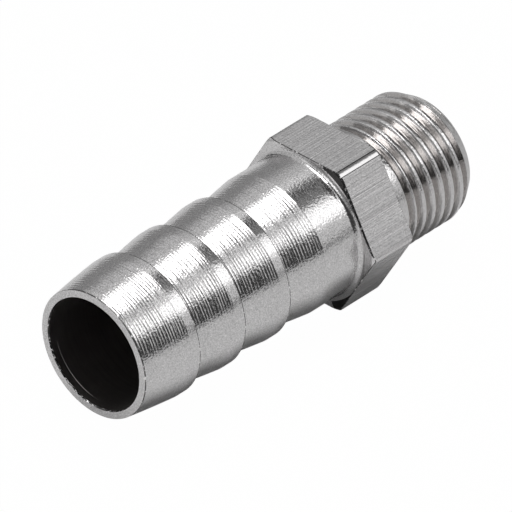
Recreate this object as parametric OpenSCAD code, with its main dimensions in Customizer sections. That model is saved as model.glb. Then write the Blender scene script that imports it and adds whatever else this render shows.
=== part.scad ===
// Hose tail fitting: barbed tail, hexagon and male pipe thread turned from one hexagon bar.
// Sizes are in millimetres. The axis lies along X, with the origin where it meets
// the seat, the shoulder of the hexagon at the root of the thread. The tail points
// to -X and the thread to +X, and two flats of the hexagon are level.

/* [Hose tail] */
// Length of the tail, from its nose to the hexagon
tail_l = 20; // [19.5:0.1:28]
// Number of barbs
barb_count = 4; // [1:1:4]
// Distance from one barb to the next
barb_pitch = 4.27; // [3:0.01:4.4]
// Distance from the nose to the first crest
first_crest = 3.93; // [2:0.01:4.2]
// Length of the straight land behind each crest
barb_land = 0.78; // [0.3:0.01:1.5]
// Diameter over the crests, lands and neck
crest_d = 10.22; // [9.8:0.01:10.6]
// Rise of the first cone, from the nose to the first crest
nose_rise = 0.49; // [0.3:0.01:0.6]
// Height of the step behind each land, down to the foot of the next barb
barb_step = 0.54; // [0.3:0.01:0.6]
// Radius of the fillet between neck and hexagon
neck_fillet = 0.4; // [0.1:0.05:0.6]

/* [Hexagon] */
// Width across flats
hex_af = 11; // [11:0.1:14]
// Length of the hexagon
hex_l = 3.8; // [3:0.1:8]
// How far each corner of the bar is rounded off, along its radius
corner_break = 0.04; // [0.01:0.01:0.1]
// How deep the end chamfers cut the rounded corners, along the radius
corner_chamfer = 0.26; // [0.1:0.01:0.4]
// Angle of the corner chamfers to the end faces
hex_chamfer_angle = 30; // [15:1:45]

/* [Thread] */
// Diameter over the thread's crests
thread_d = 9.55; // [9:0.01:9.8]
// Length from the seat to the end of the thread
thread_l = 7.95; // [6:0.05:12]
// Diameter of the end face, below the root of the thread
thread_face_d = 8.2; // [7.4:0.05:8.6]
// Angle of the end chamfer to the axis
thread_chamfer_angle = 33; // [20:1:45]
// Distance from one turn to the next
thread_pitch = 0.907; // [0.8:0.001:1.1]
// Angle between the flanks of a groove
flank_angle = 55; // [50:1:60]
// Width of the flat crests
thread_crest_w = 0.27; // [0.15:0.01:0.3]
// Width of the flat roots
thread_root_w = 0.13; // [0.05:0.01:0.2]
// Length of the plain shank between the seat and the first groove
shank_l = 1.05; // [0.5:0.05:2]

/* [Bore] */
// Diameter of the wide bore in the tail
tail_bore_d = 8.1; // [6.5:0.05:8.4]
// Depth of the wide bore, to the start of its drilled cone
tail_bore_l = 17.5; // [10:0.1:21]
// Diameter of the narrow bore through hexagon and thread
thread_bore_d = 6; // [4:0.1:6.4]
// Point angle of the drill that ends the wide bore
drill_angle = 118; // [90:1:140]
// Width of the broken edge at each mouth
mouth_break = 0.12; // [0.05:0.01:0.2]

/* [Hidden] */
$fn = 96;
arc_steps = 8;
over = 1;

nose_x = -hex_l - tail_l;
hex_x = -hex_l;
crest_r = crest_d / 2;
nose_r = crest_r - nose_rise;
foot_r = crest_r - barb_step;
thread_r = thread_d / 2;
thread_face_r = thread_face_d / 2;
thread_chamfer_l = (thread_r - thread_face_r) / tan(thread_chamfer_angle);
full_corner_r = hex_af / 2 / cos(30);
corner_r = full_corner_r - corner_break;
hex_face_r = corner_r - corner_chamfer;
hex_chamfer_l = corner_chamfer * tan(hex_chamfer_angle);
groove_w = thread_pitch - thread_crest_w;
groove_depth = (groove_w - thread_root_w) / 2 / tan(flank_angle / 2);
fillet_r = min(neck_fillet, hex_af / 2 - crest_r);
tail_bore_r = tail_bore_d / 2;
thread_bore_r = thread_bore_d / 2;
drill_cone_l = (tail_bore_r - thread_bore_r) / tan(drill_angle / 2);
tail_bore_end = nose_x + tail_bore_l;

// Place of the crest of barb i, counted from the nose
function crest_x(i) = nose_x + first_crest + i * barb_pitch;

// One barb in the profile: its foot, its crest and the end of its land.
// The first rises from the nose, and the last land runs on into the neck.
function barb_points(i) = concat(
    i == 0 ? [[nose_x, nose_r]] : [[crest_x(i - 1) + barb_land, foot_r]],
    [[crest_x(i), crest_r]],
    i == barb_count - 1 ? [] : [[crest_x(i) + barb_land, crest_r]]
);

// Concave quarter round from the neck up to the face of the hexagon
function fillet_points() = [
    for (k = [0:arc_steps])
        let (a = 90 * k / arc_steps)
        [hex_x - fillet_r * (1 - sin(a)), crest_r + fillet_r * (1 - cos(a))]
];

// The tail is turned as one profile, and runs a little into the hexagon
module tail() {
    rotate_extrude()
        polygon([for (p = concat(
            [[nose_x, 0]],
            [for (i = [0:barb_count - 1]) each barb_points(i)],
            fillet_points(),
            [[hex_x + hex_l / 2, crest_r], [hex_x + hex_l / 2, 0]]
        )) [p[1], p[0]]]);
}

// Hexagon bar with rounded corners, turned to a shallow cone at both ends
module hexagon() {
    intersection() {
        translate([0, 0, hex_x])
            rotate([0, 0, 30])
                cylinder(h = hex_l, r = full_corner_r, $fn = 6);
        rotate_extrude()
            polygon([
                [0, hex_x],
                [hex_face_r, hex_x],
                [corner_r, hex_x + hex_chamfer_l],
                [corner_r, -hex_chamfer_l],
                [hex_face_r, 0],
                [0, 0]
            ]);
    }
}

// Thread blank at the size over the crests, with its end chamfer
module thread_blank() {
    rotate_extrude()
        polygon([
            [0, -hex_l / 2],
            [thread_r, -hex_l / 2],
            [thread_r, thread_l - thread_chamfer_l],
            [thread_face_r, thread_l],
            [0, thread_l]
        ]);
}

// One groove of the thread, open past the crests, with its near edge at x
module thread_groove(x) {
    flank = groove_depth + over;
    flank_w = flank * tan(flank_angle / 2);
    middle = x + groove_w / 2;
    rotate_extrude()
        polygon([
            [thread_r - groove_depth, middle - thread_root_w / 2],
            [thread_r + over, middle - thread_root_w / 2 - flank_w],
            [thread_r + over, middle + thread_root_w / 2 + flank_w],
            [thread_r - groove_depth, middle + thread_root_w / 2]
        ]);
}

// The turns of the thread are rings at its pitch, up to the end chamfer
module thread() {
    difference() {
        thread_blank();
        for (x = [shank_l : thread_pitch : thread_l - thread_chamfer_l - groove_w / 2])
            thread_groove(x);
    }
}

// Wide bore from the nose, drilled cone, narrow bore out of the thread,
// and a broken edge at each mouth
module bores() {
    rotate_extrude()
        polygon([
            [0, nose_x - over],
            [tail_bore_r + mouth_break + over, nose_x - over],
            [tail_bore_r, nose_x + mouth_break],
            [tail_bore_r, tail_bore_end],
            [thread_bore_r, tail_bore_end + drill_cone_l],
            [thread_bore_r, thread_l - mouth_break],
            [thread_bore_r + mouth_break + over, thread_l + over],
            [0, thread_l + over]
        ]);
}

module hose_tail_fitting() {
    color("silver")
        rotate([0, 90, 0])
            difference() {
                union() {
                    tail();
                    hexagon();
                    thread();
                }
                bores();
            }
}

hose_tail_fitting();
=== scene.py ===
import math

import bmesh
import bpy
from mathutils import Matrix, Vector


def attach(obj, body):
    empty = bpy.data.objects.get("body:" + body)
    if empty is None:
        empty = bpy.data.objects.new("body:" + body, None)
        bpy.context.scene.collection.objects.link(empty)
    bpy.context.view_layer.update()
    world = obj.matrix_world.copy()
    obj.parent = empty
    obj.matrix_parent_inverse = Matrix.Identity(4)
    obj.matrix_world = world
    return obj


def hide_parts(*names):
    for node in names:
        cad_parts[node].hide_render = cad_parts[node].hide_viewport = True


# Hose tail fitting, nickel plated: barbed tail, hexagon and male pipe thread in one turned piece.
# The axis lies along X with the seat of the hexagon at 0, the tail towards -X and the thread towards +X.
# The dictionaries are in millimetres and degrees, Blender gets metres. Azimuth runs from +X towards +Y.
# Angles round the axis start at the top and run towards -Y, the near side.

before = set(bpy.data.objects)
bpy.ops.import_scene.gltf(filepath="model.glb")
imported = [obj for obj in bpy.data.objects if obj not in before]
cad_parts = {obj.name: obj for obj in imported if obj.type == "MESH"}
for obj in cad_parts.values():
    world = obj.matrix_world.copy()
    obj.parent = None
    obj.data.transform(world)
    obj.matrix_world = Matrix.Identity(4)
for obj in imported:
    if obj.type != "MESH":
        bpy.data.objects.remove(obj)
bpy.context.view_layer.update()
mm = 0.001
tiny = 1e-9


def direction(azimuth, elevation):
    a = math.radians(azimuth)
    e = math.radians(elevation)
    return Vector((math.cos(a) * math.cos(e), math.sin(a) * math.cos(e), math.sin(e)))


def placement(spot, back, roll):  # faces away from back, and is rolled about it
    turn = back.to_track_quat("Z", "Y").to_matrix() @ Matrix.Rotation(math.radians(roll), 3, "Z")
    return Matrix.Translation(spot) @ turn.to_4x4()


# Camera: a long lens from above the nose of the tail

cameraSetup = {
    "target": (-8.486, -0.062, -0.060),
    "azimuth": -136.741,
    "elevation": 35.136,
    "roll": -0.2,
    "distance": 655.17,
    "lens": 703.05,
    "sensor": 36,
    "nearest": 10,
    "farthest": 10000,
}


def placeCamera():
    data = bpy.data.cameras.new("camera")
    data.lens = cameraSetup["lens"]
    data.sensor_width = cameraSetup["sensor"]
    data.clip_start = cameraSetup["nearest"] * mm
    data.clip_end = cameraSetup["farthest"] * mm
    camera = bpy.data.objects.new("camera", data)
    bpy.context.scene.collection.objects.link(camera)
    back = direction(cameraSetup["azimuth"], cameraSetup["elevation"])
    spot = (Vector(cameraSetup["target"]) + back * cameraSetup["distance"]) * mm
    camera.matrix_world = placement(spot, back, cameraSetup["roll"])
    bpy.context.scene.camera = camera


placeCamera()
print("camera placed")


# Finishes: bright nickel over turned brass, each surface with its own tool marks.
# A pattern is counted per millimetre, and one with two counts has them along the axis and across it.
# Colour and roughness change over a span of the pattern, from the first value to the second.

nickel = {
    "colour": (0.62, 0.611, 0.613),
    "shade": (0.44, 0.434, 0.436),
    "bright": (0.80, 0.789, 0.791),
    "roughness": 0.2,
    "patches": 11.0,
    "patchSpan": (0.32, 0.68),
    "roughSpan": (0.3, 0.7),
}


class NodeBench:  # short calls for laying out one material
    def __init__(self, name):
        self.material = bpy.data.materials.new(name)
        self.material.use_nodes = True
        self.tree = self.material.node_tree
        self.tree.nodes.clear()
        self.output = self.tree.nodes.new("ShaderNodeOutputMaterial")
        self.shader = self.tree.nodes.new("ShaderNodeBsdfPrincipled")
        self.link(self.shader.outputs["BSDF"], self.output.inputs["Surface"])

    def link(self, source, target):
        self.tree.links.new(source, target)

    def feed(self, socket, value):
        if isinstance(value, bpy.types.NodeSocket):
            self.link(value, socket)
        else:
            socket.default_value = value

    def finish(self, name, value):  # a value or a pattern for one socket of the shader
        self.feed(self.shader.inputs[name], value)

    def maths(self, operation, first, second=0.0, third=0.0):
        node = self.tree.nodes.new("ShaderNodeMath")
        node.operation = operation
        for socket, value in zip(node.inputs, (first, second, third)):
            self.feed(socket, value)
        return node.outputs[0]

    def vectorMaths(self, operation, vector, socket, value):
        node = self.tree.nodes.new("ShaderNodeVectorMath")
        node.operation = operation
        self.link(vector, node.inputs[0])
        self.feed(node.inputs[socket], value)
        return node.outputs[0]

    def scaled(self, vector, factor):
        return self.vectorMaths("SCALE", vector, "Scale", factor)

    def stretched(self, vector, factors):
        return self.vectorMaths("MULTIPLY", vector, 1, factors)

    def position(self):  # in millimetres
        where = self.tree.nodes.new("ShaderNodeTexCoord")
        return self.scaled(where.outputs["Object"], 1 / mm)

    def split(self, vector):
        node = self.tree.nodes.new("ShaderNodeSeparateXYZ")
        self.link(vector, node.inputs[0])
        return node.outputs

    def radius(self, spot):  # from the axis of the fitting
        y, z = self.split(spot)[1:]
        return self.maths("SQRT", self.maths("MULTIPLY_ADD", y, y, self.maths("MULTIPLY", z, z)))

    def noise(self, spot, count, detail=2.0, roughness=0.5):
        node = self.tree.nodes.new("ShaderNodeTexNoise")
        self.link(spot, node.inputs["Vector"])
        node.inputs["Scale"].default_value = count
        node.inputs["Detail"].default_value = detail
        node.inputs["Roughness"].default_value = roughness
        return node.outputs["Fac"]

    def marks(self, spot, counts, detail=3.0, roughness=0.6):  # noise drawn out in one direction
        along, across = counts
        return self.noise(self.stretched(spot, (along, across, across)), 1.0, detail, roughness)

    def rings(self, spot, count, detail=3.0):  # noise that changes with the radius alone
        node = self.tree.nodes.new("ShaderNodeTexNoise")
        node.noise_dimensions = "1D"
        self.link(self.radius(spot), node.inputs["W"])
        node.inputs["Scale"].default_value = count
        node.inputs["Detail"].default_value = detail
        return node.outputs["Fac"]

    def patches(self, spot):
        return self.noise(spot, nickel["patches"], roughness=0.7)

    def remap(self, value, span, result=(0.0, 1.0)):
        node = self.tree.nodes.new("ShaderNodeMapRange")
        self.link(value, node.inputs["Value"])
        for name, number in zip(("From Min", "From Max", "To Min", "To Max"), (*span, *result)):
            node.inputs[name].default_value = number
        return node.outputs["Result"]

    def mixColour(self, factor, first, second):  # the colour sockets stand behind those of other types
        node = self.tree.nodes.new("ShaderNodeMix")
        node.data_type = "RGBA"
        self.feed(node.inputs["Factor"], factor)
        self.feed(node.inputs[6], first)
        self.feed(node.inputs[7], second)
        return node.outputs[2]

    def bumps(self, *layers):  # each is a height and its depth in millimetres for a height of 1
        normal = None
        for height, depth in layers:
            node = self.tree.nodes.new("ShaderNodeBump")
            node.inputs["Strength"].default_value = 1.0
            node.inputs["Distance"].default_value = depth * mm
            self.link(height, node.inputs["Height"])
            if normal:
                self.link(normal, node.inputs["Normal"])
            normal = node.outputs["Normal"]
        self.finish("Normal", normal)


def colour(rgb):
    return (*rgb, 1.0)


def plated(name, roughness=nickel["roughness"], base=nickel["colour"]):
    bench = NodeBench(name)
    bench.finish("Base Color", colour(base))
    bench.finish("Metallic", 1.0)
    bench.finish("Roughness", roughness)
    return bench


def toned(bench, pattern, paintedLift=1.0):  # patchy plating, from shade to bright, raised by a painted-light lift where one is given
    shade = colour([paintedLift * value for value in nickel["shade"]])
    bright = colour([paintedLift * value for value in nickel["bright"]])
    bench.finish("Base Color", bench.mixColour(bench.remap(pattern, nickel["patchSpan"]), shade, bright))


turnedLook = {
    "feed": 0.228,  # advance of the tool at each turn of the bar
    "feedDepth": 0.008,
    "stray": (1.3, 0.1),
    "strayTurns": 1.6,  # how far the feed marks stray from an even advance
    "press": (2.4, 0.4),
    "pressSpan": (0.35, 0.65),
    "pressShare": (0.4, 1.5),  # of the depth, as the tool pressed unevenly
    "lines": (9.0, 0.25),
    "lineDepth": 0.008,
    "grain": 6.25,
    "grainDepth": 0.0156,
    "roughness": (0.06, 0.13),
}


def turnedNickel():  # cones of the tail, with the feed marks of the tool
    bench = plated("nickelTurned")
    spot = bench.position()
    stray = bench.marks(spot, turnedLook["stray"], roughness=0.5)
    stray = bench.maths("MULTIPLY", stray, turnedLook["strayTurns"])
    turns = bench.maths("MULTIPLY_ADD", bench.split(spot)[0], 1 / turnedLook["feed"], stray)
    across = bench.maths("SUBTRACT", bench.maths("FRACT", turns), 0.5)
    scallop = bench.maths("MULTIPLY", bench.maths("MULTIPLY", across, across), 4.0)  # 1 between two marks
    press = bench.marks(spot, turnedLook["press"], detail=2.0, roughness=0.5)
    press = bench.remap(press, turnedLook["pressSpan"], turnedLook["pressShare"])
    scallop = bench.maths("MULTIPLY", scallop, press)
    lines = bench.marks(spot, turnedLook["lines"])
    grain = bench.noise(spot, turnedLook["grain"], roughness=0.6)
    bench.bumps(
        (scallop, turnedLook["feedDepth"]),
        (lines, turnedLook["lineDepth"]),
        (grain, turnedLook["grainDepth"]),
    )
    bench.finish("Roughness", bench.remap(lines, nickel["roughSpan"], turnedLook["roughness"]))
    toned(bench, bench.patches(spot))
    return bench.material


fineLook = {
    "lines": (16.0, 0.3),
    "lineDepth": 0.0032,
    "grain": 6.25,
    "grainDepth": 0.0156,
    "roughness": (0.1, 0.17),
}


def fineNickel():  # lands and neck, finished with a fine pass, and the smooth corners of the hexagon
    bench = plated("nickelFine")
    spot = bench.position()
    lines = bench.marks(spot, fineLook["lines"])
    grain = bench.noise(spot, fineLook["grain"])
    bench.bumps((lines, fineLook["lineDepth"]), (grain, fineLook["grainDepth"]))
    bench.finish("Roughness", bench.remap(grain, nickel["roughSpan"], fineLook["roughness"]))
    toned(bench, bench.patches(spot))
    return bench.material


drawnLook = {
    "streaks": (0.03, 8.0),
    "streakDepth": 0.014,
    "streakTone": 0.9,
    "patches": 9.0,
    "patchTone": 0.7,
    "toneShift": -0.3,
    "grain": 6.0,
    "grainDepth": 0.012,
    "roughness": (0.18, 0.3),
}


def drawnNickel():  # flats of the hexagon, as the bar came from the die
    bench = plated("nickelDrawn")
    spot = bench.position()
    streaks = bench.marks(spot, drawnLook["streaks"])
    grain = bench.noise(spot, drawnLook["grain"])
    bench.bumps((streaks, drawnLook["streakDepth"]), (grain, drawnLook["grainDepth"]))
    bench.finish("Roughness", bench.remap(streaks, nickel["roughSpan"], drawnLook["roughness"]))
    patches = bench.noise(spot, drawnLook["patches"], roughness=0.6)
    tone = bench.maths("MULTIPLY_ADD", patches, drawnLook["patchTone"], drawnLook["toneShift"])
    toned(bench, bench.maths("MULTIPLY_ADD", streaks, drawnLook["streakTone"], tone))
    return bench.material


facedLook = {
    "rings": 9.0,
    "ringDepth": 0.004,
    "grain": 6.0,
    "grainDepth": 0.012,
    "roughness": (0.12, 0.2),
    # painted light: the faced plating is brightened a little
    "paintedLift": 1.03,
}


def facedNickel():  # nose ring and end faces, faced off square
    bench = plated("nickelFaced")
    spot = bench.position()
    rings = bench.rings(spot, facedLook["rings"])
    grain = bench.noise(spot, facedLook["grain"])
    bench.bumps((rings, facedLook["ringDepth"]), (grain, facedLook["grainDepth"]))
    bench.finish("Roughness", bench.remap(grain, nickel["roughSpan"], facedLook["roughness"]))
    toned(bench, bench.patches(spot), facedLook["paintedLift"])
    return bench.material


threadLook = {
    "warmShade": (0.545, 0.527, 0.518),
    "warmShadeRadii": (4.6, 4.75),  # the warm painted shade ends between these radii
    "speckle": (0.82, 1.16),
    "lines": (14.0, 0.3),
    "lineDepth": 0.007,
    "grain": 6.5,
    "grainDepth": 0.004,
    "nicks": 5.0,
    "nickDepth": 0.03,
    "nickRadii": (4.7, 4.78),  # the nicks begin between these
    "roughness": (0.06, 0.12),
}


def threadNickel():  # warmer and darker down in the roots, with painted shade, and nicked at the crests
    bench = plated("nickelThread")
    spot = bench.position()
    radius = bench.radius(spot)
    lines = bench.marks(spot, threadLook["lines"])
    grain = bench.noise(spot, threadLook["grain"])
    nicks = bench.noise(spot, threadLook["nicks"], roughness=0.6)
    nicks = bench.maths("MULTIPLY", nicks, bench.remap(radius, threadLook["nickRadii"]))
    bench.bumps(
        (lines, threadLook["lineDepth"]),
        (grain, threadLook["grainDepth"]),
        (nicks, threadLook["nickDepth"]),
    )
    bench.finish("Roughness", bench.remap(grain, nickel["roughSpan"], threadLook["roughness"]))
    # painted shade: the roots are darker and warmer
    height = bench.remap(radius, threadLook["warmShadeRadii"])
    mix = bench.mixColour(height, colour(threadLook["warmShade"]), colour(nickel["colour"]))
    speckle = bench.remap(bench.patches(spot), nickel["patchSpan"], threadLook["speckle"])
    bench.finish("Base Color", bench.scaled(mix, speckle))
    return bench.material


roughShadedLook = {
    "shade": (0.4, 0.394, 0.394),
    "bright": (0.54, 0.534, 0.534),
    "grain": 7.0,
    "grainDepth": 0.01,
    "roughness": 0.26,
}


def roughShadedNickel():  # end chamfer of the thread, rougher, and darker with painted shade
    bench = plated("nickelRoughShaded", roughShadedLook["roughness"])
    grain = bench.noise(bench.position(), roughShadedLook["grain"], roughness=0.6)
    bench.bumps((grain, roughShadedLook["grainDepth"]))
    tone = bench.remap(grain, nickel["patchSpan"])
    mix = bench.mixColour(tone, colour(roughShadedLook["shade"]), colour(roughShadedLook["bright"]))
    bench.finish("Base Color", mix)
    return bench.material


paintedShadeEdgeLook = {
    "shade": (0.02, 0.0195, 0.0195),
    "bright": (0.14, 0.137, 0.137),
    "wearAndGlints": 4.0,
    "wearDepth": 0.02,
    "paintedSpan": (0.3, 0.6),
    # the specks are painted glints on the painted shade
    "speck": (0.9, 0.89, 0.89),
    "speckSpan": (0.575, 0.61),
    "roughness": 0.3,
}


def paintedShadeEdgeNickel():  # the sharp edges, in painted shade, with a few bright specks that are painted glints
    bench = plated("nickelPaintedShadeEdge", paintedShadeEdgeLook["roughness"])
    wearAndGlints = bench.noise(bench.position(), paintedShadeEdgeLook["wearAndGlints"], detail=3.0, roughness=0.6)
    bench.bumps((wearAndGlints, paintedShadeEdgeLook["wearDepth"]))
    tone = bench.remap(wearAndGlints, paintedShadeEdgeLook["paintedSpan"])
    dark = bench.mixColour(tone, colour(paintedShadeEdgeLook["shade"]), colour(paintedShadeEdgeLook["bright"]))
    specks = bench.remap(wearAndGlints, paintedShadeEdgeLook["speckSpan"])
    bench.finish("Base Color", bench.mixColour(specks, dark, colour(paintedShadeEdgeLook["speck"])))
    return bench.material


burrPaintedLightLook = {
    "shade": (0.05, 0.049, 0.049),
    "bright": (0.95, 0.94, 0.94),
    "wearAndGlints": 3.2,
    "wearDepth": 0.35,
    "paintedSpan": (0.48, 0.52),
    "roughness": 0.2,
}


def burrPaintedLightNickel():  # torn edge in the mouth of the bore, a rough bump with flecks of painted glint and painted shade
    bench = plated("nickelBurrPaintedLight", burrPaintedLightLook["roughness"])
    wearAndGlints = bench.noise(bench.position(), burrPaintedLightLook["wearAndGlints"], detail=3.0, roughness=0.6)
    bench.bumps((wearAndGlints, burrPaintedLightLook["wearDepth"]))
    tone = bench.remap(wearAndGlints, burrPaintedLightLook["paintedSpan"])
    mix = bench.mixColour(tone, colour(burrPaintedLightLook["shade"]), colour(burrPaintedLightLook["bright"]))
    bench.finish("Base Color", mix)
    return bench.material


burnishedLook = {
    "grain": 6.0,
    "grainDepth": 0.004,
    "roughness": 0.12,
}


def burnishedNickel():  # the near corner, pressed smooth by the die
    bench = plated("nickelBurnished", burnishedLook["roughness"])
    grain = bench.noise(bench.position(), burnishedLook["grain"])
    bench.bumps((grain, burnishedLook["grainDepth"]))
    return bench.material


paintedShadeLook = {
    "colour": (0.04, 0.039, 0.039),
    "roughness": 0.2,
}


def paintedShadeNickel():  # painted shade: the dark lines on both sides of that corner, and the dark parts of the back face
    return plated("nickelPaintedShade", paintedShadeLook["roughness"], paintedShadeLook["colour"]).material


paintedShadeBoreLook = {
    "shade": (0.24, 0.225, 0.22),
    "bright": (0.36, 0.34, 0.335),
    "lines": (6.0, 0.3),
    "lineDepth": 0.002,
    "roughness": 0.4,
}


def paintedShadeBoreNickel():  # the bore is darkened with painted shade
    bench = plated("nickelPaintedShadeBore", paintedShadeBoreLook["roughness"])
    lines = bench.marks(bench.position(), paintedShadeBoreLook["lines"])
    bench.bumps((lines, paintedShadeBoreLook["lineDepth"]))
    mix = bench.mixColour(lines, colour(paintedShadeBoreLook["shade"]), colour(paintedShadeBoreLook["bright"]))
    bench.finish("Base Color", mix)
    return bench.material


finishMakers = {
    "turned": turnedNickel,
    "fine": fineNickel,
    "drawn": drawnNickel,
    "faced": facedNickel,
    "thread": threadNickel,
    "roughShaded": roughShadedNickel,
    "crease": paintedShadeEdgeNickel,
    "burr": burrPaintedLightNickel,
    "burnished": burnishedNickel,
    "paintedShade": paintedShadeNickel,
    "bore": paintedShadeBoreNickel,
}
finishes = list(finishMakers)
finishMaterials = [make() for make in finishMakers.values()]
print("finishes made:", ", ".join(finishes))


# Profiles: every row is one cut through the wall, seen at one angle round the axis.
# A corner is (x, radius, softness, finish of the stretch that follows it).
# A point is the same without the softness.

softCorner = {
    "steps": 3,
    "lead": 1.8,  # where the points before and after a soft corner stand, counted in softness
}


def softPath(corners):
    path = []
    last = len(corners) - 1
    for i, (x, r, soft, finish) in enumerate(corners):
        if soft == 0 or i in (0, last):
            path.append((x, r, finish))
            continue
        before = corners[i - 1][3]
        here = Vector((x, r))
        back = (Vector(corners[i - 1][:2]) - here).normalized()
        ahead = (Vector(corners[i + 1][:2]) - here).normalized()
        start, end = here + back * soft, here + ahead * soft
        path.append((*(here + back * soft * softCorner["lead"]), before))
        for step in range(softCorner["steps"] + 1):
            t = step / softCorner["steps"]
            point = start * (1 - t) ** 2 + here * 2 * t * (1 - t) + end * t * t
            path.append((*point, before if t < 0.5 else finish))
        path.append((*(here + ahead * soft * softCorner["lead"]), finish))
    return path


# Hose tail: the barbs, the neck and the fillet up to the hexagon

tail = {
    "nose": -23.8,
    "noseRadius": 4.62,
    "noseCrease": (0.11, 0.014),  # length and rise of the edge in painted shade
    "ringSeam": 0.2,  # the paths of tail and bore meet this far inside the edge of the nose
    "crestRadius": 5.11,
    "footRadius": 4.57,
    "crests": (-19.87, -15.60, -11.33, -7.06),
    "land": 0.78,
    "landCrease": 0.07,
    "stepLean": 0.02,
    "bulge": 0.022,
    "coneSteps": 6,
    "edge": 0.035,
    "filletRadius": 0.38,
    "filletLead": 0.03,  # a ring of points stands this far before the fillet
    "filletSteps": 8,
}


def tailCorners():
    x, r = tail["nose"], tail["noseRadius"]
    creaseLength, creaseRise = tail["noseCrease"]
    corners = [
        (x, r - tail["ringSeam"], 0, "faced"),
        # the edge of the nose is a thin line of painted shade
        (x, r, tail["edge"], "crease"),
        (x + creaseLength, r + creaseRise, 0, "turned"),
    ]
    top = tail["crestRadius"]
    for crest in tail["crests"]:
        for step in range(1, tail["coneSteps"]):
            t = step / tail["coneSteps"]
            swell = 4 * tail["bulge"] * t * (1 - t)
            corners.append((x + (crest - x) * t, r + (top - r) * t + swell, 0, "turned"))
        corners.append((crest, top, tail["edge"], "fine"))
        if crest == tail["crests"][-1]:
            break
        landEnd = crest + tail["land"]
        # the end of each land is a thin line of painted shade
        corners.append((landEnd - tail["landCrease"], top, 0, "crease"))
        corners.append((landEnd, top, tail["edge"], "faced"))
        x, r = landEnd + tail["stepLean"], tail["footRadius"]
        corners.append((x, r, tail["edge"], "turned"))
    fillet = tail["filletRadius"]
    start = hexagon["back"] - fillet
    corners.append((start - tail["filletLead"], top, 0, "fine"))
    for step in range(tail["filletSteps"]):
        a = math.radians(90 * step / tail["filletSteps"])
        corners.append((start + fillet * math.sin(a), top + fillet * (1 - math.cos(a)), 0, "fine"))
    corners.append((hexagon["back"], top + fillet, 0, "faced"))
    return corners


# Bore: narrow through the thread, wide in the tail, with a drilled cone between

bore = {
    "radius": 4.05,
    "depth": 17.5,
    "narrowRadius": 3.0,
    "drillCone": 0.631,
    "drillSoft": 0.03,
    "narrowRing": 3,  # rings of points this far from both ends of the narrow bore
    "wideRings": (6, 5),  # the same in the wide bore, from the drilled cone and from the nose
    "lip": 0.06,
    "frontSoft": 0.015,
    "lipDepth": 0.11,
    "noseSoft": 0.012,
    "burrPaintedLightAngles": (190, 258),
    "mouthDepth": 0.62,
    "mouthStep": 0.024,  # left by the reamer on one side only
    "mouthStepAngle": -140,
    "mouthStepFade": 2.2,  # how much faster than a cosine the step dies away
    "mouthStepLeast": 0.02,
    "mouthRings": (0.08, 0.02, 0.05),  # two behind the step and one before it
}


def boreCorners(angle):  # from the end face of the thread back through to the nose
    aside = abs((angle - bore["mouthStepAngle"] + 180) % 360 - 180)
    fade = math.cos(math.radians(min(90, bore["mouthStepFade"] * aside)))
    narrow, wide = bore["narrowRadius"], bore["radius"]
    stepped = wide + bore["mouthStep"] * max(bore["mouthStepLeast"], fade)
    front, nose = thread["end"], tail["nose"]
    foot = nose + bore["depth"]
    drilled = foot + bore["drillCone"]
    mouth = nose + bore["mouthDepth"]
    # the wall of the bore carries painted shade
    return [
        (front, thread["faceRadius"] - thread["faceSeam"], 0, "faced"),
        (front, narrow + bore["lip"], bore["frontSoft"], "faced"),
        (front - bore["lip"], narrow, bore["frontSoft"], "bore"),
        (front - bore["narrowRing"], narrow, 0, "bore"),
        (drilled + bore["narrowRing"], narrow, 0, "bore"),
        (drilled, narrow, bore["drillSoft"], "bore"),
        (foot, wide, bore["drillSoft"], "bore"),
        (foot - bore["wideRings"][0], wide, 0, "bore"),
        (nose + bore["wideRings"][1], wide, 0, "bore"),
        (mouth + bore["mouthRings"][0], wide, 0, "bore"),
        (mouth + bore["mouthRings"][1], wide, 0, "bore"),
        (mouth, stepped, 0, "bore"),
        (mouth - bore["mouthRings"][2], stepped, 0, "bore"),
        # the lip at the nose has flecks of painted glint and painted shade
        (nose + bore["lipDepth"], stepped, bore["noseSoft"], "burr"),
        (nose, wide + bore["lip"], bore["noseSoft"], "faced"),
        (nose, tail["noseRadius"] - tail["ringSeam"], 0, "faced"),
    ]


# Hexagon: rounded corners, a shallow chamfer at both ends, and the near corner pressed into a strip

hexagon = {
    "back": -3.8,
    "front": 0.0,
    "flat": 5.5,
    "cornerRound": 0.33,
    "faceRadius": 6.05,
    "chamferAngle": 30,
    "edge": 0.045,
    "frontEdge": 0.6,  # share of the same edge at the front
    "lengthSteps": 4,
    "flatSteps": 13,
    "cornerSteps": 5,
    "nearCorner": 30,
    "pressed": (-3, 3),  # angles from the near corner between which the die pressed it
    "strip": (  # its outline: how far aside of the corner, and how far out along it
        (-0.297, 6.179), (-0.235, 6.198), (-0.179, 6.203),
        (0.0, 6.186), (0.174, 6.155), (0.2, 6.222),
    ),
    # the lines on both sides of the strip are painted shade
    "stripFinish": ((-2.76, -2.1, "paintedShade"), (-2.1, 1.62, "burnished"), (1.62, 2.2, "paintedShade")),
    "stripClear": 2.9,  # no other rows of points stand this near to the corner
    "stripRows": (-2.85, -2.752, 2.0, 2.2, 2.752),  # but these, beside the strip
    "edgeWidening": 0.08,  # how much wider the back edge of the near flat is, which widens its line of painted shade
    "edgeWideningAngles": (32.2, 89),
    "edgeWideningFades": (1.5, 3),
    "edgeWideningLean": 1.6,  # the widening is greatest next to the near corner
    "paintedShadeBack": ((17, 62), (106, 153)),  # angles where the back face carries painted shade
    "neckGap": 0.02,  # least distance from the neck to the chamfer on the back face
    "neckRing": 0.05,  # width of the ring on the back face that the fine pass took in
}


def fromFlat(angle):  # angle from the middle of the nearest flat
    return abs((angle + 30) % 60 - 30)


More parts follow.
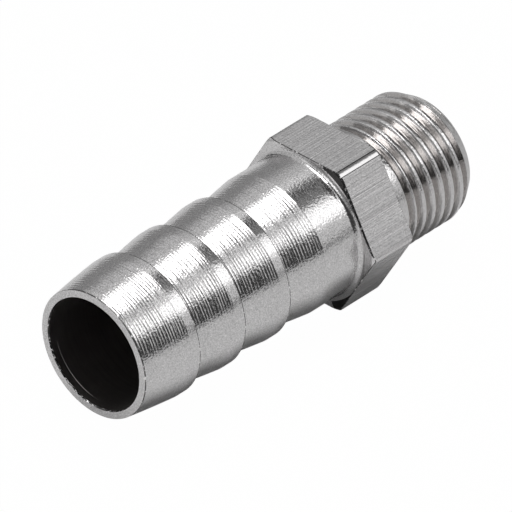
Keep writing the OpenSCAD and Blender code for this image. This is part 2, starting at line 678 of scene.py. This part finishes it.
def cornerStart():  # angle from the middle of a flat to where its corner begins to round
    middle = hexagon["flat"] - hexagon["cornerRound"]
    return math.degrees(math.atan(middle * math.tan(math.radians(30)) / hexagon["flat"]))


def stripRadius(aside):  # outline of the pressed strip at an angle from the near corner
    slope = math.tan(math.radians(aside))
    for (u, v), (nextU, nextV) in zip(hexagon["strip"], hexagon["strip"][1:]):
        if u / v - tiny <= slope <= nextU / nextV + tiny:
            t = (slope * v - u) / ((nextU - u) - slope * (nextV - v))
            return math.hypot(u + (nextU - u) * t, v + (nextV - v) * t)
    return None


def hexOutline(angle):  # radius of the rounded hexagon at an angle from the top
    aside = angle - hexagon["nearCorner"]
    pressed = hexagon["pressed"][0] < aside < hexagon["pressed"][1]
    strip = stripRadius(aside) if pressed else None
    if strip:
        return strip
    off = fromFlat(angle)
    if pressed or off <= cornerStart() + tiny:
        return hexagon["flat"] / math.cos(math.radians(off))
    rounding = hexagon["cornerRound"]
    middle = (hexagon["flat"] - rounding) / math.cos(math.radians(30))
    side = math.radians(30 - off)
    return middle * math.cos(side) + math.sqrt(rounding ** 2 - (middle * math.sin(side)) ** 2)


def backEdge(angle):  # width of the edge at the back, with its widening
    start, end = hexagon["edgeWideningAngles"]
    fadeIn, fadeOut = hexagon["edgeWideningFades"]
    share = max(0, min(1, (angle - start) / fadeIn, (end - angle) / fadeOut))
    return hexagon["edge"] + hexagon["edgeWidening"] * share * (hexagon["edgeWideningLean"] - angle / 90)


def hexPoints(angle):
    outline = hexOutline(angle)
    edge = backEdge(angle)
    frontEdge = edge * hexagon["frontEdge"]
    face = min(hexagon["faceRadius"], outline - edge)
    deep = max(0.0, outline - edge - face) * math.tan(math.radians(hexagon["chamferAngle"]))
    back, front = hexagon["back"], hexagon["front"]
    points = [
        (back, face, "faced"),
        # the chamfer edges of the hexagon are thin lines of painted shade
        (back + deep, outline - edge, "crease"),
        (back + deep + edge, outline, "drawn"),
    ]
    for step in range(1, hexagon["lengthSteps"]):
        points.append((back + (front - back) * step / hexagon["lengthSteps"], outline, "drawn"))
    points.append((front - deep - frontEdge, outline, "crease"))
    points.append((front - deep, outline - frontEdge, "faced"))
    points.append((front, face, "faced"))
    return points


def ringAngles():  # close together where a corner of the hexagon is rounded
    edge = cornerStart()
    flatSteps, cornerSteps = hexagon["flatSteps"], hexagon["cornerSteps"]
    half = [edge * k / flatSteps for k in range(flatSteps)]
    half += [edge + (30 - edge) * k / cornerSteps for k in range(cornerSteps)]
    side = [-30] + [-a for a in reversed(half)][:-1] + half
    near = hexagon["nearCorner"]
    angles = [60 * k + a for k in range(6) for a in side]
    angles = [angle for angle in angles if abs(angle - near) > hexagon["stripClear"]]
    angles += [near + math.degrees(math.atan2(u, v)) for u, v in hexagon["strip"]]
    angles += [near + aside for aside in hexagon["stripRows"]]
    return sorted(angles)


# Thread: plain shank, a groove for each turn and the end chamfer

thread = {
    "radius": 4.775,
    "shank": 4.765,
    "shankRings": (0.0, 0.6, 0.7),
    "shankEnd": 0.75,
    "root": 4.283,
    "pitch": 0.907,
    "flankAngle": 29,
    "crestWidth": 0.29,
    "crestSoft": 0.055,
    "crestShare": 0.3,  # the most that the softness takes of a shallow groove
    "crestCurve": ((1, 0), (0.35, 0.12), (-0.35, 0.75)),  # out and down, counted in softness
    "rootSoft": 0.05,
    "rootCurve": (0.75, 0.22),  # share of the root's half width, and up, counted in softness
    "flankEnds": 0.9,  # where the straight flank ends, counted in softness
    "flankRings": (0.14, 0.86),
    "deepFlank": 0.12,
    "firstGroove": 1.22,
    "runOut": 0.7,
    "runOutCurve": 0.6,
    "shallowest": 0.012,  # depth at which a groove begins
    "crowding": 0.15,  # how far the die crowded the first turn against the second
    "crowdedTo": 2.03,
    "crowdingFade": 0.7,
    "closest": 0.0001,  # least distance from one point to the next along the axis
    "end": 7.95,
    "endClear": 0.08,  # the grooves stop this far before the end
    "endRings": (0.07, 0.02),
    "faceRadius": 4.1,
    "faceBreak": 0.02,
    "faceSeam": 0.15,  # the paths of thread and bore meet this far inside the end face
    "chamferAngle": 33,
    "chamferMatch": 0.001,  # a point this near to the chamfer belongs to it
}


def grooveTurn(centre, paintedLift):  # one groove, centred on its root; lift raises it in the run-out
    flank = math.tan(math.radians(thread["flankAngle"]))
    top = thread["radius"]
    root = thread["root"] + paintedLift
    bottom = thread["rootSoft"]
    ends = thread["flankEnds"]
    halfRoot = (thread["pitch"] - thread["crestWidth"]) / 2 - (top - thread["root"]) * flank
    halfTop = halfRoot + (top - root) * flank
    soft = min(thread["crestSoft"], (top - root) * thread["crestShare"])
    flankTop = Vector((halfTop - soft * ends, top - soft * ends / flank))
    flankFoot = Vector((halfRoot + bottom * flank * ends, root + bottom * ends))
    side = [(halfTop + soft * out, top - soft * down) for out, down in thread["crestCurve"]]
    side.append(flankTop)
    if flankTop.x - flankFoot.x > thread["deepFlank"]:  # keeps a deep flank straight in the light
        side += [flankTop.lerp(flankFoot, share) for share in thread["flankRings"]]
    side.append(flankFoot)
    side.append((halfRoot * thread["rootCurve"][0], root + bottom * thread["rootCurve"][1]))
    nearSide = [(centre - u, r) for u, r in side]
    farSide = [(centre + u, r) for u, r in reversed(side)]
    return nearSide + [(centre, root)] + farSide


def chamferRadius(x):
    return thread["faceRadius"] + (thread["end"] - x) * math.tan(math.radians(thread["chamferAngle"]))


def cutByChamfer(points):
    kept = [points[0]]
    for a, b in zip(points, points[1:]):
        overA = a[1] - chamferRadius(a[0])
        overB = b[1] - chamferRadius(b[0])
        if (overA < 0) != (overB < 0):
            t = overA / (overA - overB)
            x = a[0] + (b[0] - a[0]) * t
            kept.append((x, chamferRadius(x)))
        if overB < 0:
            kept.append(b)
    return kept


def threadProfile(angle):  # shank, grooves and end chamfer, from the seat to the end face
    points = [(x, thread["shank"]) for x in thread["shankRings"]]
    last = thread["shankEnd"]
    full = thread["radius"] - thread["root"]
    turn = angle / 360 - 2  # begins before the run-out
    while True:
        centre = thread["firstGroove"] + thread["pitch"] * turn
        turn += 1
        if centre > thread["end"] + thread["pitch"]:
            break
        progress = (centre - thread["firstGroove"] + thread["pitch"] / 2) / thread["runOut"]
        depth = min(1.0, max(0.0, progress)) ** thread["runOutCurve"]
        if depth * full < thread["shallowest"]:
            continue
        crowded = (thread["crowdedTo"] - centre) / thread["crowdingFade"]
        centre += thread["crowding"] * min(1.0, max(0.0, crowded))
        for point in grooveTurn(centre, (1 - depth) * full):
            if point[0] > last + thread["closest"]:
                points.append(point)
                last = point[0]
    points = cutByChamfer(points)
    while points[-1][0] > thread["end"] - thread["endClear"]:
        points.pop()
    for before in thread["endRings"]:
        points.append((thread["end"] - before, chamferRadius(thread["end"] - before)))
    points.append((thread["end"], thread["faceRadius"] - thread["faceBreak"]))
    return points


def threadPoints(angle):
    points = []
    for x, r in threadProfile(angle):
        onChamfer = abs(r - chamferRadius(x)) < thread["chamferMatch"]
        # the end chamfer is rougher, and darkened with painted shade
        points.append((x, r, "roughShaded" if onChamfer else "thread"))
    return points


# The whole skin: rows of points round the axis, stitched into faces

skin = {
    "weld": 0.00001,
    "sharpAngle": 24,
    "pairedEnds": 3,  # points at both ends of the thread that are always joined one to one
    "pairedGap": 0.012,  # so are points of two rows that lie this near along the helix
}
stretches = ("tail", "hexagon", "thread", "bore")


def buildRow(angle):
    bar = hexPoints(angle)
    path = softPath(tailCorners())
    back, face = hexagon["back"], bar[0][1]
    neck = min(path[-1][1], face - hexagon["neckGap"])
    path[-1] = (back, neck, "fine")
    path.append((back, min(neck + hexagon["neckRing"], (neck + face) / 2), "faced"))
    return dict(zip(stretches, (path, bar, threadPoints(angle), softPath(boreCorners(angle))[:-1])))


def makeFitting():
    angles = ringAngles()
    mesh = bmesh.new()
    rows = []
    for angle in angles:
        a = math.radians(angle)
        row = {}
        for name, points in buildRow(angle).items():
            row[name] = []
            for x, r, finish in points:
                spot = Vector((x, -r * math.sin(a), r * math.cos(a))) * mm
                row[name].append({"vert": mesh.verts.new(spot), "x": x, "finish": finish})
        rows.append(row)
    for left, right, start, end in zip(rows, rows[1:] + rows[:1], angles, angles[1:] + [angles[0] + 360]):
        rise = thread["pitch"] * (end - start) / 360
        stitchRows(mesh, left, right, rise, (start + end) / 2)
    bmesh.ops.remove_doubles(mesh, verts=mesh.verts, dist=skin["weld"] * mm)
    bmesh.ops.recalc_face_normals(mesh, faces=mesh.faces)
    return mesh


def barFinish(angle):  # finish of the hexagon bar at an angle from the top
    for start, end, finish in hexagon["stripFinish"]:
        if start < angle - hexagon["nearCorner"] < end:
            return finish
    return "fine" if fromFlat(angle) > cornerStart() else "drawn"


def finishAt(angle, x, finish):  # what changes round the axis
    if finish == "drawn":
        return barFinish(angle)
    # outside these angles the lip gets the painted shade of the edges instead
    if finish == "burr" and not bore["burrPaintedLightAngles"][0] < angle < bore["burrPaintedLightAngles"][1]:
        return "crease"
    # the back face gets painted shade at these angles
    dark = any(start < angle < end for start, end in hexagon["paintedShadeBack"])
    if finish == "faced" and x == hexagon["back"] and dark:
        return "paintedShade"
    return finish


def stitchRows(mesh, left, right, rise, angle):
    for name, following in zip(stretches, stretches[1:] + stretches[:1]):
        a = left[name] + left[following][:1]
        b = right[name] + right[following][:1]
        if name == "thread":
            zipThread(mesh, a, b, rise)
            continue
        for k in range(len(a) - 1):
            addFace(mesh, (a[k], a[k + 1], b[k + 1], b[k]), finishAt(angle, a[k]["x"], a[k]["finish"]))


def zipThread(mesh, a, b, rise):  # the rows differ in length, as the helix moves on from one to the next
    i = j = 0
    ends = skin["pairedEnds"]
    while i < len(a) - 1 or j < len(b) - 1:
        leftX = a[i + 1]["x"] if i < len(a) - 1 else math.inf
        rightX = b[j + 1]["x"] if j < len(b) - 1 else math.inf
        gap = leftX + rise - rightX
        atStart = i < ends and j < ends
        atEnd = i >= len(a) - ends and j >= len(b) - ends
        if atStart or atEnd or abs(gap) < skin["pairedGap"]:
            addFace(mesh, (a[i], a[i + 1], b[j + 1], b[j]), a[i]["finish"])
            i += 1
            j += 1
        elif gap < 0:
            addFace(mesh, (a[i], a[i + 1], b[j]), a[i]["finish"])
            i += 1
        else:
            addFace(mesh, (a[i], b[j + 1], b[j]), b[j]["finish"])
            j += 1


def addFace(mesh, corners, finish):
    face = mesh.faces.new([corner["vert"] for corner in corners])
    face.material_index = finishes.index(finish)
    face.smooth = True


def finishFitting(mesh):
    data = bpy.data.meshes.new("hoseTailFitting")
    mesh.to_mesh(data)
    mesh.free()
    for material in finishMaterials:
        data.materials.append(material)
    data.set_sharp_from_angle(angle=math.radians(skin["sharpAngle"]))
    piece = bpy.data.objects.new("hoseTailFitting", data)
    bpy.context.scene.collection.objects.link(piece)
    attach(piece, "root")
    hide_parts("hose_tail_fitting")
    return piece


fitting = finishFitting(makeFitting())
print("fitting made:", len(fitting.data.polygons), "faces")


# Floor: pale, and all but white to the camera, with the shadow kept, and darker far off as painted shade

floor = {
    "height": -5.5,
    "half": 1500,
    "colour": (0.84, 0.84, 0.84),
    "farShadeColour": (0.56, 0.56, 0.56),
    "shadeFall": (25, 220),  # distances between which the colour darkens, painted shade for light that falls off
    "roughness": 0.9,
    "whiteShare": 0.99,  # how far the camera sees the floor as plain white
    "metalShare": 0.06,  # the same in the metal, which shows more of the shadow
}


def makeFloor():
    bench = NodeBench("paleFloor")
    away = bench.tree.nodes.new("ShaderNodeVectorMath")
    away.operation = "LENGTH"
    bench.link(bench.position(), away.inputs[0])
    # painted shade: the floor darkens far from the fitting
    shadeFall = bench.remap(away.outputs["Value"], floor["shadeFall"])
    bench.finish("Base Color", bench.mixColour(shadeFall, colour(floor["colour"]), colour(floor["farShadeColour"])))
    bench.finish("Roughness", floor["roughness"])
    bench.finish("Specular IOR Level", 0.0)
    rays = bench.tree.nodes.new("ShaderNodeLightPath")
    seen = bench.maths("MULTIPLY", rays.outputs["Is Camera Ray"], floor["whiteShare"])
    seen = bench.maths("MULTIPLY_ADD", rays.outputs["Is Glossy Ray"], floor["metalShare"], seen)
    seen = bench.maths("MULTIPLY_ADD", rays.outputs["Is Transmission Ray"], floor["whiteShare"], seen)
    seen = bench.maths("MINIMUM", seen, 1.0)
    glow = bench.tree.nodes.new("ShaderNodeEmission")
    glow.inputs["Color"].default_value = (1, 1, 1, 1)
    glow.inputs["Strength"].default_value = 1.0
    mix = bench.tree.nodes.new("ShaderNodeMixShader")
    bench.link(seen, mix.inputs["Fac"])
    bench.link(bench.shader.outputs["BSDF"], mix.inputs[1])
    bench.link(glow.outputs["Emission"], mix.inputs[2])
    bench.link(mix.outputs["Shader"], bench.output.inputs["Surface"])
    half = floor["half"] * mm
    data = bpy.data.meshes.new("floor")
    corners = [(-half, -half, 0), (half, -half, 0), (half, half, 0), (-half, half, 0)]
    data.from_pydata(corners, [], [(0, 1, 2, 3)])
    data.materials.append(bench.material)
    piece = bpy.data.objects.new("floor", data)
    piece.location.z = floor["height"] * mm
    bpy.context.scene.collection.objects.link(piece)


makeFloor()


# Light: soft boxes round a plain grey studio.
# At gives the azimuth and elevation of a box, and size its width and height as angles seen from the seat.
# A box with shine shows in the metal but leaves the floor alone, and a matt one does the opposite.

studio = {
    "distance": 1000,
    "greys": ((0.15, 0.06), (0.5, 0.06), (0.9, 0.07)),  # height and brightness, from low to high
}
softBoxes = {
    "overhead": {"at": (34, 81.6), "size": (34.5, 33.5), "turn": 38, "brightness": 3.3},
    "overheadRim": {"at": (34, 80), "size": (50, 48), "turn": 38, "brightness": 0.42},
    "side": {"at": (-48, 37), "size": (26, 26), "brightness": 0.76, "shine": True},
    "sideLow": {"at": (-46, 24), "size": (32, 43), "brightness": 0.66, "shine": True},
    "sideHigh": {"at": (-62, 49), "size": (30, 38), "brightness": 0.66, "shine": True},
    "between": {"at": (-24, 51), "size": (22, 18), "brightness": 0.17, "shine": True},
    "fill": {"at": (45, 43), "size": (36, 31), "brightness": 0.13, "shine": True},
    "fillHigh": {"at": (45, 46), "size": (36, 26), "brightness": 0.14, "shine": True},
    "fillTop": {"at": (48, 51), "size": (36, 17), "brightness": 0.12, "shine": True},
    "fillLow": {"at": (50, 22), "size": (60, 70), "brightness": 0.25, "shine": True},
    "back": {"at": (118, 42), "size": (50, 40), "brightness": 0.55, "shine": True},
    "noseTop": {"at": (190, 44), "size": (30, 34), "brightness": 1.2, "shine": True},
    "noseSide": {"at": (178, 32), "size": (70, 56), "brightness": 0.3, "shine": True},
    "backLow": {"at": (122, 8), "size": (50, 26), "brightness": 0.5},
    "floorWash": {"at": (118, 84), "size": (40, 30), "brightness": 2.6, "matt": True},
}


def makeSoftBox(name, box):
    distance = studio["distance"] * mm
    width, height = [2 * distance * math.tan(math.radians(angle / 2)) for angle in box["size"]]
    data = bpy.data.lights.new(name, "AREA")
    data.shape = "RECTANGLE"
    data.size = width
    data.size_y = height
    data.energy = box["brightness"] * math.pi * data.size * data.size_y
    lamp = bpy.data.objects.new(name, data)
    back = direction(*box["at"])
    lamp.matrix_world = placement(back * distance, back, box.get("turn", 0))
    lamp.visible_camera = False
    lamp.visible_glossy = not box.get("matt", False)
    lamp.visible_diffuse = not box.get("shine", False)
    bpy.context.scene.collection.objects.link(lamp)


def makeStudio():
    world = bpy.data.worlds.new("studio")
    bpy.context.scene.world = world
    world.use_nodes = True
    tree = world.node_tree
    tree.nodes.clear()
    where = tree.nodes.new("ShaderNodeTexCoord")
    axes = tree.nodes.new("ShaderNodeSeparateXYZ")
    tree.links.new(where.outputs["Generated"], axes.inputs[0])
    ramp = tree.nodes.new("ShaderNodeValToRGB")
    tree.links.new(axes.outputs["Z"], ramp.inputs["Fac"])
    low, middle, high = studio["greys"]
    stops = ramp.color_ramp.elements
    stops[0].position = low[0]
    stops[1].position = high[0]
    stops.new(middle[0])
    for stop, (height, brightness) in zip(stops, studio["greys"]):
        stop.color = colour([brightness] * 3)
    back = tree.nodes.new("ShaderNodeBackground")
    tree.links.new(ramp.outputs["Color"], back.inputs["Color"])
    out = tree.nodes.new("ShaderNodeOutputWorld")
    tree.links.new(back.outputs["Background"], out.inputs["Surface"])
    for name, box in softBoxes.items():
        makeSoftBox(name, box)


makeStudio()
bpy.context.scene.view_settings.view_transform = "Standard"
print("floor and light set")
